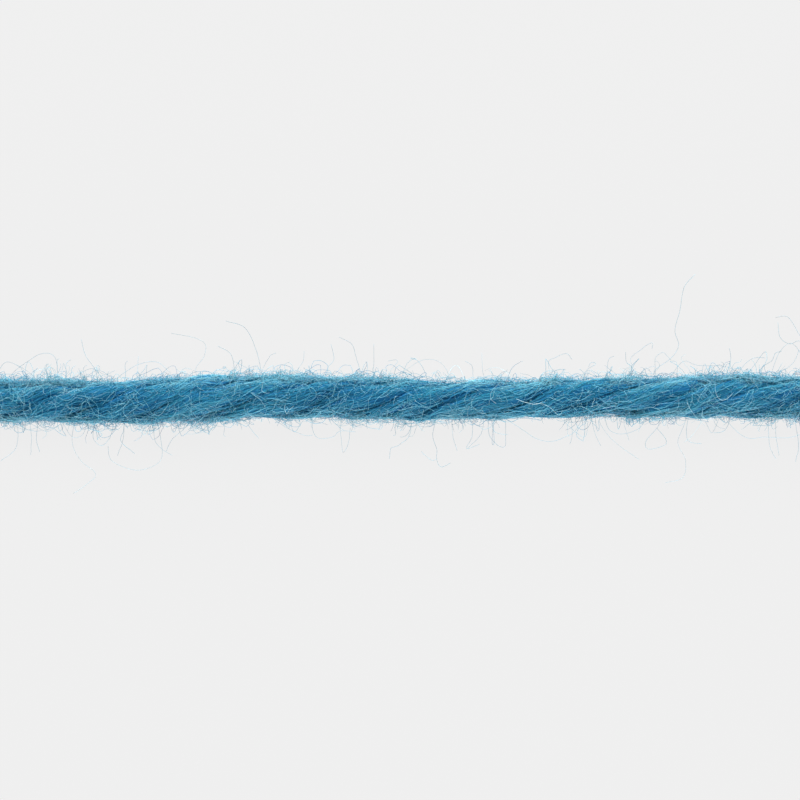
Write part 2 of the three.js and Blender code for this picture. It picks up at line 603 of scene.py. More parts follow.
def faces_up(g, angle, under):
    """Keeps every angle round the strand but a share of those on the side that it lies on."""
    return (np.sin(angle) > -0.55) | (g.random(angle.shape) < under)


def spread_round(g, shape, under=0.3):
    """Angles round the strand, fewer on the side that it lies on."""
    th = g.uniform(0, 2 * np.pi, shape)
    return np.where(faces_up(g, th, under), th, -th)


# how thick the fuzz is at x on the far (+Y) side and on the near (-Y) side
THICKNESS = [
    dict(x=-34.5, far=1.2, near=1.2),
    dict(x=-26.6, far=1.2, near=1.7),
    dict(x=-23.8, far=1.9, near=1.6),
    dict(x=-21.0, far=1.3, near=1.5),
    dict(x=-18.2, far=0.7, near=0.7),
    dict(x=-15.4, far=1.4, near=1.7),
    dict(x=-12.6, far=0.9, near=1.4),
    dict(x=-9.8, far=0.9, near=0.8),
    dict(x=-7.0, far=1.4, near=0.35),
    dict(x=-4.2, far=1.6, near=1.0),
    dict(x=-1.4, far=1.3, near=0.6),
    dict(x=1.4, far=0.7, near=0.9),
    dict(x=4.2, far=0.9, near=1.0),
    dict(x=7.0, far=0.6, near=0.6),
    dict(x=9.8, far=1.5, near=0.15),
    dict(x=12.6, far=0.9, near=0.7),
    dict(x=15.4, far=1.4, near=1.4),
    dict(x=18.2, far=1.3, near=1.8),
    dict(x=21.0, far=1.4, near=0.5),
    dict(x=23.8, far=1.8, near=0.8),
    dict(x=26.6, far=1.9, near=1.3),
    dict(x=34.5, far=1.2, near=1.2),
]


CLUMPS = {name: np.random.default_rng(seed).random(64) for name, seed in (("far", 77), ("near", 78))}


def scatter(g, n, reach, sides=0.0, far=0.66):
    """Places on the strand: spread all round and along it, but a share of them on
    its two sides, where they are as thick as the table says and mostly in clumps."""
    x, th = g.uniform(-reach, reach, n), spread_round(g, n)
    beside, on_far, along_it = g.random(n) < sides, g.random(n) < far, g.random(n)
    tilt = g.normal(0.15, 0.36, n)
    at = np.linspace(-reach, reach, 400)
    for side_, mine in (("far", beside & on_far), ("near", beside & ~on_far)):
        share = np.cumsum(np.interp(at, [r["x"] for r in THICKNESS], [r[side_] for r in THICKNESS]))
        clump = CLUMPS[side_][g.integers(0, 64, n)]
        spot = np.where(g.random(n) < 0.6, clump, along_it)
        at_spot = np.interp(spot, share / share[-1], at) + np.where(spot == clump, g.normal(0, 0.22, n), 0)
        x = np.where(mine, np.clip(at_spot, -reach, reach), x)
        th = np.where(mine, tilt if side_ == "far" else np.pi - tilt, th)
    return x, th, beside


FORM = [Field(20 + k, 14, (0, 4), (3.2, 12), 0.060) for k in range(PLIES)]  # slubs, mm
DYE = [Field(s, 16, (1, 4), (6, 16), 0.044) for s in (6308, 5517, 6124, 4572)]  # shade
PATCH = [Field(s, 18, (0, 3), (1.6, 5.0), 0.38) for s in (1517, 5801, 4129, 2713)]  # breaks in the grooves' shade
# clefts dip the fibres and are also painted darker, as shade between bundles
CLEFT = [Streaks(s, 36, (3, 9), 0.11, 1.1, 1.0) for s in (2414, 2749, 4461, 5463)]  # between bundles
LEAN = [Field(60 + k, 10, (1, 4), (5, 12), 0.075) for k in range(PLIES)]  # way the fibres lie


# ---------------------------------------------------------------- the core: four twisted plies
def core():
    sides, steps = 30, 190
    xs = np.linspace(-LENGTH / 2 + 0.05, LENGTH / 2 - 0.05, steps + 1)
    a = (np.arange(sides) + 0.5) / sides * 2 * np.pi - np.pi
    verts, tris, tone, uvs = [], [], [], []
    base = 0
    for k in range(PLIES):
        X, A = np.meshgrid(xs, a, indexing="ij")
        ends = np.clip((LENGTH / 2 - np.abs(X)) / 0.7, 0, 1)
        lift = FORM[k](A, X) - INSET * outer(A) - 0.048 - 0.30 * (1 - ends) ** 2
        p = on_ply(k, X, A, lift).reshape(-1, 3)
        # tone: random dye and a slow change along the strand, with painted shade in the grooves and in the clefts
        # between bundles
        t = 0.50 + SHADE(X) + 1.2 * DYE[k](A, X) - 0.22 * painted_groove_shade(k, A, X) - 0.25 * CLEFT[k](A, X)
        t = np.clip(t, 0, 1).reshape(-1)
        n = len(p)
        centres = [p[:sides].mean(0), p[-sides:].mean(0)]
        p = np.concatenate([p, centres])
        p[:, 2] = np.maximum(p[:, 2], 0.01)
        verts.append(p)
        tone.append(np.concatenate([t, [0.4, 0.4]]))
        i = np.arange(steps)[:, None]
        j = np.arange(sides)[None, :]
        j2 = (j + 1) % sides
        q = [base + i * sides + j, base + i * sides + j2]
        q += [q[1] + sides, q[0] + sides]
        tris.append(np.stack([q[0], q[2], q[1]], -1).reshape(-1, 3))
        tris.append(np.stack([q[0], q[3], q[2]], -1).reshape(-1, 3))
        u = [(k + 0.01 + 0.98 * (j + s) / sides) / PLIES + 0 * i for s in (0, 1)]
        v = [0.97 * (i + s) / steps + 0 * j for s in (0, 1)]
        c = [np.stack([u[0], v[0]], -1), np.stack([u[1], v[0]], -1)]
        c += [np.stack([u[1], v[1]], -1), np.stack([u[0], v[1]], -1)]
        uvs.append(np.stack([c[0], c[2], c[1]], -2).reshape(-1, 2))
        uvs.append(np.stack([c[0], c[3], c[2]], -2).reshape(-1, 2))
        jj = np.arange(sides)
        for e, ring in ((0, 0), (1, steps * sides)):
            tri = np.stack(
                [base + ring + jj, base + ring + (jj + 1) % sides, np.full(sides, base + n + e)], -1
            )
            where = np.array([(k + 0.3 + 0.4 * e) / PLIES, 0.985])
            spoke = lambda z: where + 0.012 * np.stack([np.cos(z), np.sin(z)], -1)
            z = 2 * np.pi * jj / sides
            z2 = 2 * np.pi * (jj + 1) / sides
            patch = np.stack([spoke(z), spoke(z2), np.broadcast_to(where, (sides, 2))], 1)
            tris.append(tri if e == 0 else tri[:, ::-1])
            uvs.append((patch if e == 0 else patch[:, ::-1]).reshape(-1, 2))
        base += n + 2
    return make_object(
        "yarn_core",
        np.concatenate(verts),
        np.concatenate(tris),
        np.concatenate(tone),
        CORE,
        np.concatenate(uvs),
    )


yarn_core = core()
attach(yarn_core, "root")
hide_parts("ply_1", "ply_2", "ply_3", "ply_4")
print("triangles yarn_core", len(yarn_core.data.polygons))

total = len(yarn_core.data.polygons)


def finish(fibres, name, material):
    o = fibres.build(name, material)
    global total
    total += fibres.triangles()
    print("triangles", name, fibres.triangles(), "sum", total)
    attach(o, "root")
    return o


# ---------------------------------------------------------------- fibres lying on the plies
def waves(g, x, n, rows):
    """For each of n fibres a smooth wander along x: x is (n, P)."""
    total = np.zeros_like(x)
    for shortest, longest, size in rows:
        wave = g.uniform(shortest, longest, (n, 1))
        total += size * g.normal(0, 1, (n, 1)) * np.sin(
            2 * np.pi * x / wave + g.uniform(0, 2 * np.pi, (n, 1))
        )
    return total


def lying(k, seed, count, P=11):
    """Fibres of one ply: they run along it, lean a little each way and dip under others."""
    g = np.random.default_rng(seed)
    fib = Fibres()
    n = count
    L = g.uniform(1.8, 4.8, (n, 1))
    mid = g.uniform(-LENGTH / 2 - 1.2, LENGTH / 2 + 1.2, (n, 1))
    lo = np.maximum(mid - L / 2, -LENGTH / 2 - g.uniform(-0.25, 0.35, (n, 1)))
    hi = np.minimum(mid + L / 2, LENGTH / 2 + g.uniform(-0.25, 0.35, (n, 1)))
    a0 = g.uniform(-1.75, 1.75, (n, 1))
    facing = turn(k, (lo + hi) / 2) + np.interp(a0, SEC_A, SEC_PHI)
    keep = ((hi - lo > 1.0) & faces_up(g, facing, 0.5))[:, 0]
    lo, hi, a0 = lo[keep], hi[keep], a0[keep]
    n = len(lo)
    share = np.linspace(0, 1, P)[None, :]
    x = lo + (hi - lo) * share
    mid = (lo + hi) / 2
    wild = g.random((n, 1)) < 0.22
    slope = 0.11 + LEAN[k](a0, mid) + g.normal(0, 0.13, (n, 1)) + np.where(wild, g.normal(0, 0.45, (n, 1)), 0)
    a = a0 + slope * (x - mid) + waves(g, x, n, [(3, 7, 0.05), (1.4, 2.6, 0.038), (0.7, 1.3, 0.022)])
    layer = g.uniform(-0.042, 0.022, (n, 1)) + np.where(wild, 0.015, 0)
    cleft = CLEFT[k](a, x)
    lift = FORM[k](a, x) - 0.045 * cleft - INSET * outer(a) + layer
    lift = lift + waves(g, x, n, [(2.0, 5, 0.016), (0.8, 1.8, 0.014)])
    end = np.clip(1 - share / 0.14, 0, 1) + np.clip(1 - (1 - share) / 0.14, 0, 1)
    lift = lift - 0.10 * end
    p = on_ply(k, x, a, lift)
    p[..., 2] = np.maximum(p[..., 2], 0.02)
    thick = g.normal(0.0190, 0.003, (n, 1)).clip(0.012, 0.028)
    r = thick * (1 - 0.5 * end)
    # the tone carries painted light and shade: fibres on the strand's shoulders are painted paler as painted light,
    # lower-lying fibres darker as painted shade under those above, and fibres in clefts and grooves darker as painted
    # shade
    beside = painted_side_light(turn(k, x) + np.interp(wrap(a), SEC_A, SEC_PHI))
    tone = 0.490 + DYE[k](a, x) + SHADE(x) + g.normal(0, 0.045, (n, 1)) + 0.6 * layer + 0.52 * beside
    fib.add(p, r, np.clip(tone - 0.25 * cleft - 0.19 * painted_groove_shade(k, a, x), 0.06, 1))
    return fib


for k in range(PLIES):
    finish(lying(k, 100 + k, 1740), f"ply_{k + 1}_fibres", WOOL)


# ---------------------------------------------------------------- cut ends
def cut_ends(seed, each):
    """The brush of fibres in each ply's cut face."""
    g = np.random.default_rng(seed)
    fib = Fibres()
    P = 5
    for k in range(PLIES):
        for end in (-1, 1):
            a = g.uniform(-np.pi, np.pi, (each, 1))
            f = 1.03 * np.sqrt(g.random((each, 1)))
            tip = LENGTH / 2 + g.normal(0.05, 0.16, (each, 1)).clip(-0.4, 0.6)
            share = np.linspace(0, 1, P)[None, :]
            far = tip - 1.7 + 1.7 * share
            x = end * far
            scale = across(x) / NOMINAL
            spring = 0.22 * share**2 * g.uniform(0.2, 1.3, (each, 1))
            out = (MID + f * (np.interp(a, SEC_A, SEC_OUT) - MID)) * scale + splay(x)
            acr = f * np.interp(a, SEC_A, SEC_ACR) * scale
            out = out + spring * f * np.cos(a) + 0.06 * g.normal(0, 1, (each, P)) * share
            acr = acr + spring * f * np.sin(a) + 0.09 * g.normal(0, 1, (each, P)) * share
            p = place(k, np.clip(x, -36, 36), out, acr)
            p[..., 2] = np.maximum(p[..., 2], 0.02)
            # the tips are painted paler towards the cut face, as painted light on the ends
            tone = np.clip(g.normal(0.58, 0.15, (each, 1)) + 0.34 * share**2, 0, 1)
            fib.add(p, g.normal(0.016, 0.0025, (each, 1)).clip(0.01, 0.022) + 0 * share, tone)
    return fib


finish(cut_ends(303, 200), "cut_ends", WOOL)


# ---------------------------------------------------------------- fibres over the surface
def loops(fib, g, n, P, span, height, lean, tone, thick=0.0135, wobble=0.07, bridge=0.0, sink=0.35):
    """Fibres that leave the surface, arch over it and go back in."""
    share = np.linspace(0, 1, P)[None, :]
    x0 = g.uniform(-LENGTH / 2 + 0.4, LENGTH / 2 - 0.4, (n, 1))
    th0 = spread_round(g, (n, 1))
    way = -0.40 + g.normal(0, lean, (n, 1))
    L = g.uniform(*span, (n, 1)) * g.choice([-1.0, 1.0], (n, 1))
    bow = g.normal(0, 0.12, (n, 1)) * np.abs(L) * np.sin(np.pi * share)
    bow = bow + wobble * g.normal(0, 1, (n, 1)) * np.sin(
        2 * np.pi * share * g.uniform(1.0, 2.4, (n, 1)) + g.uniform(0, 6.3, (n, 1))
    )
    x = x0 + L * share * np.cos(way) - bow * np.sin(way)
    x = np.clip(x, -LENGTH / 2 - 0.2, LENGTH / 2 + 0.2)
    th = th0 + (L * share * np.sin(way) + bow * np.cos(way)) / 1.5
    h = height * np.exp(g.normal(0, 0.55, (n, 1)))
    base = envelope(x, th) - INSET
    base = base + bridge * np.clip(across(x) / 2 + splay(x) - INSET - base, 0, None)
    rho = base - 0.07 + (h + 0.07) * np.sin(np.pi * share) ** 0.7
    rho = rho + 0.25 * h * np.sin(2 * np.pi * share * 1.7 + g.uniform(0, 6.3, (n, 1)))
    r = thick * g.uniform(0.8, 1.2, (n, 1)) + 0 * share
    # tone: fibres over the grooves are painted darker by sink, as painted groove shade
    tone = g.normal(*tone, (n, 1)) - sink * painted_groove_shade_round(x, th)
    fib.add(around(x, th, rho), r, np.clip(tone, 0, 1))


def in_the_grooves(fib, g, n, P):
    """Fibres that lie along the grooves and soften them."""
    share = np.linspace(0, 1, P)[None, :]
    L = g.uniform(2.0, 5.5, (n, 1))
    x = g.uniform(-LENGTH / 2 + 0.1, LENGTH / 2 - 5.6, (n, 1)) + L * share
    k = g.integers(0, PLIES, (n, 1))
    drift = np.zeros_like(x)
    for j in range(PLIES):
        drift = np.where((k + 1) % PLIES == j, DRIFT[j](x), drift)
    off = g.normal(0, 0.035, (n, 1)) + waves(g, x, n, [(2, 5, 0.03), (1.0, 1.8, 0.012)])
    th = turn(k, x) + np.pi / PLIES + drift + off
    depth = np.abs(g.normal(0, 0.022, (n, 1)))
    end = np.clip(1 - share / 0.12, 0, 1) + np.clip(1 - (1 - share) / 0.12, 0, 1)
    rho = ENV_RHO[0] * across(x) / NOMINAL + splay(x) - INSET * 0.4 - depth - 0.06 * end
    rho = rho + waves(g, x, n, [(1.5, 4, 0.012)])
    # these fibres are painted dark, as the grooves' shade
    tone = np.clip(g.normal(0.26, 0.10, (n, 1)) + 0 * share, 0, 1)
    fib.add(around(x, th, rho), g.normal(0.0165, 0.003, (n, 1)).clip(0.011, 0.024) + 0 * share, tone)


def matted(fib, g, n, P, length, curl, height, tone, thick, sink=0.25, sides=0.0, wild=0.35, pale=0.30):
    """Fine curly fibres that wander over the surface and through each other. Those
    on the two sides curl more freely and stay there, and all are painted paler there, as painted
    light on the strand's shoulders; over the grooves they are painted darker, as shade."""
    x, th, beside = scatter(g, n, LENGTH / 2 - 0.3, sides)
    L = length[0] * (length[1] / length[0]) ** g.random(n)
    ds = L / (P - 1)
    free = np.where(beside, 0.45, wild)
    heading = -0.3 + g.normal(0, 1, n) * np.where(beside, 0.5, 0.2 + 0.8 * wild)
    heading = np.where(g.random(n) < free, g.uniform(-np.pi, np.pi, n), heading)
    radius = g.uniform(*curl, n) * np.where(beside, 1.0, 1.0 + 6.0 * max(0.35 - wild, 0))
    bend = g.normal(0, 1, n) / radius
    xs, ths = [x], [th]
    for _ in range(P - 1):
        bend = 0.72 * bend + 0.70 * g.normal(0, 1, n) / radius
        heading = heading + bend * ds
        x = np.clip(x + ds * np.cos(heading), -LENGTH / 2 - 0.2, LENGTH / 2 + 0.2)
        th = th + ds * np.sin(heading) / 1.5
        xs.append(x)
        ths.append(th)
    x, th = np.stack(xs, 1), np.stack(ths, 1)
    centre = np.where(np.cos(ths[0]) > 0, 0.08, np.pi - 0.08)[:, None]
    th = np.where(beside[:, None], centre + 0.55 * np.tanh((th - centre) / 0.55), th)
    share = np.linspace(0, 1, P)[None, :]
    h = height * np.exp(g.normal(0, 0.5, (n, 1)))
    h = h * (0.8 + 0.4 * np.sin(2 * np.pi * share * g.uniform(0.3, 1.2, (n, 1)) + g.uniform(0, 6.3, (n, 1))))
    end = np.clip(1 - share / 0.10, 0, 1) + np.clip(1 - (1 - share) / 0.10, 0, 1)
    base = envelope(x, th) - INSET
    base = base + 0.25 * np.clip(across(x) / 2 + splay(x) - INSET - base, 0, None)
    rho = base + h - (h + 0.06) * end
    r = thick * g.uniform(0.8, 1.2, (n, 1)) + 0 * share
    # tone: fibres over the grooves are painted darker as shade (sink), and those on the strand's shoulders paler as
    # painted light (pale)
    tone = g.normal(*tone, (n, 1)) - sink * painted_groove_shade_round(x, th) + pale * painted_side_light(th)
    fib.add(around(x, th, rho), r, np.clip(tone, 0, 1))


def bridging(seed):
    g = np.random.default_rng(seed)
    fib = Fibres()
    in_the_grooves(fib, g, 640, 11)
    loops(fib, g, 300, 10, (1.2, 3.2), 0.03, 0.34, (0.42, 0.18), thick=0.0165, wobble=0.06, bridge=0.6, sink=0.5)
    return fib


finish(bridging(650), "bridging_fibres", WOOL)


def surface_fibres(seed):
    g = np.random.default_rng(seed)
    fib = Fibres()
    loops(fib, g, 620, 8, (0.4, 1.5), 0.06, 0.90, (0.38, 0.10), thick=0.0115)
    matted(fib, g, 185, 20, (1.6, 4.6), (0.25, 0.9), 0.05, (0.41, 0.11), 0.0115)
    loops(fib, g, 150, 16, (1.0, 3.8), 0.05, 0.95, (0.59, 0.10), thick=0.0125, wobble=0.12, bridge=0.5, sink=0.1)
    matted(fib, g, 125, 15, (0.8, 2.8), (0.25, 0.9), 0.08, (0.58, 0.10), 0.0125, sink=0.1)
    return fib


finish(surface_fibres(600), "surface_fibres", WISP)


def halo(seed):
    """Curly loops that stand a little way off all over, which soften the outline."""
    g = np.random.default_rng(seed)
    fib = Fibres()
    matted(fib, g, 1030, 11, (1.0, 2.8), (0.18, 0.6), 0.15, (0.43, 0.10), 0.0125, sink=0.3, sides=0.88, wild=0.08)
    matted(fib, g, 500, 14, (1.2, 3.4), (0.16, 0.6), 0.38, (0.36, 0.10), 0.0125, 0.2, 0.90, 0.2, pale=0.16)
    return fib


finish(halo(700), "halo_fibres_1", WISP)
finish(halo(701), "halo_fibres_2", WISP)


# ---------------------------------------------------------------- fuzz that stands off the strand
def grow(g, p0, d0, length, P, radius_of_curl, pull):
    """Walks each hair from p0 along d0 with a slowly changing bend."""
    n = len(p0)
    ds = (length / (P - 1))[:, None]
    p, d = p0.copy(), unit(d0)
    pts = [p.copy()]
    bend = unit(np.cross(d, g.normal(0, 1, (n, 3)))) / radius_of_curl[:, None]
    for _ in range(P - 1):
        bend = bend * (1 - 0.12) + 0.42 * g.normal(0, 1, (n, 3)) / radius_of_curl[:, None]
        turn_by = bend - (bend * d).sum(-1, keepdims=True) * d
        my, mz = middle_y(p[:, 0]), middle_z(p[:, 0])
        away = np.stack([0 * my, p[:, 1] - my, p[:, 2] - mz], -1)
        far = np.linalg.norm(away, axis=-1, keepdims=True)
        back = -away / np.maximum(far, 1e-6) * np.clip(far - 1.7, 0, None) * pull[:, None]
        d = unit(d + ds * (turn_by + back))
        p = p + ds * d
        low = p[:, 2] < 0.03
        p[low, 2] = 0.03
        d[low, 2] = np.abs(d[low, 2]) * 0.3
        pts.append(p.copy())
    return np.stack(pts, 1)


def hairs(fib, g, x, th, P, length, curl, pull, lean, tone, thick):
    n = len(x)
    start = around(x, th, envelope(x, th) - INSET - 0.05)
    out = np.stack([0 * x, np.cos(th), np.sin(th)], -1)
    fwd = np.stack([np.full(n, 0.89), 0.45 * np.sin(th), -0.45 * np.cos(th)], -1)
    lean = g.uniform(*lean, (n, 1))
    way = g.choice([-1.0, 1.0], (n, 1))
    d = lean * out + np.sqrt(1 - np.minimum(lean, 1) ** 2) * fwd * way + 0.3 * g.normal(0, 1, (n, 3))
    L = length[0] * (length[1] / length[0]) ** g.random(n)
    lines = grow(g, start, d, L, P, g.uniform(*curl, n), np.full(n, pull))
    share = np.linspace(0, 1, P)[None, :]
    r = thick * g.uniform(0.8, 1.2, (n, 1)) * (1 - 0.45 * share**3)
    fib.add(lines, r, np.clip(g.normal(*tone, (n, 1)) + 0 * share, 0, 1))


# thicker patches of fuzz at the strand's edges: side is +1 for +Y
TUFTS = [
    dict(x=-25.8, side=-1, n=26, wide=1.3, reach=1.0),
    dict(x=-23.6, side=1, n=12, wide=0.35, reach=1.2),
    dict(x=-22.6, side=-1, n=10, wide=0.5, reach=0.7),
    dict(x=-21.3, side=1, n=16, wide=0.8, reach=0.8),
    dict(x=-16.6, side=-1, n=26, wide=0.9, reach=1.2),
    dict(x=-13.5, side=-1, n=12, wide=1.2, reach=0.5),
    dict(x=-9.0, side=1, n=14, wide=1.3, reach=0.5),
    dict(x=-6.5, side=1, n=14, wide=0.9, reach=0.6),
    dict(x=-4.1, side=-1, n=30, wide=1.2, reach=0.8),
    dict(x=-3.4, side=1, n=12, wide=1.0, reach=0.5),
    dict(x=0.4, side=-1, n=22, wide=0.7, reach=1.1),
    dict(x=4.6, side=-1, n=10, wide=0.8, reach=0.9),
    dict(x=11.8, side=-1, n=14, wide=1.2, reach=0.9),
    dict(x=13.6, side=1, n=10, wide=0.9, reach=0.7),
    dict(x=16.6, side=1, n=26, wide=0.9, reach=1.1),
    dict(x=16.0, side=-1, n=16, wide=1.2, reach=0.8),
    dict(x=19.0, side=-1, n=14, wide=0.6, reach=0.7),
    dict(x=21.5, side=1, n=12, wide=1.2, reach=0.6),
    dict(x=25.4, side=1, n=14, wide=0.5, reach=0.9),
    dict(x=26.8, side=-1, n=18, wide=0.9, reach=1.0),
]


def fuzz(seed):
    g = np.random.default_rng(seed)
    fib = Fibres()
    ends = LENGTH / 2 - 0.3

    def spots(n, sides):
        return scatter(g, n, ends, sides)[:2]

    hairs(fib, g, *spots(2000, 0.0), 3, (0.14, 0.50), (0.2, 0.8), 0.2, (0.1, 0.8), (0.50, 0.20), 0.0110)
    hairs(fib, g, *spots(540, 0.58), 8, (0.4, 1.3), (0.10, 0.3), 2.0, (0.1, 0.8), (0.46, 0.16), 0.0128)
    hairs(fib, g, *spots(660, 0.66), 14, (0.8, 2.6), (0.14, 0.5), 1.6, (0.2, 0.9), (0.44, 0.16), 0.0130)
    hairs(fib, g, *spots(30, 0.3), 20, (1.8, 4.0), (0.7, 2.2), 0.8, (0.3, 1.0), (0.80, 0.18), 0.0120)
    for t in TUFTS:
        n = int(2.1 * t["n"])
        x = np.clip(t["x"] + g.normal(0, t["wide"], n), -ends, ends)
        th = (0 if t["side"] > 0 else np.pi) + g.normal(0, 0.45, n)
        hairs(fib, g, x, th, 13, (0.5 * t["reach"], 2.2 * t["reach"]), (0.14, 0.5), 2.2, (0.4, 1.0), (0.46, 0.15), 0.0130)
    return fib


finish(fuzz(501), "fuzz", FUZZ)

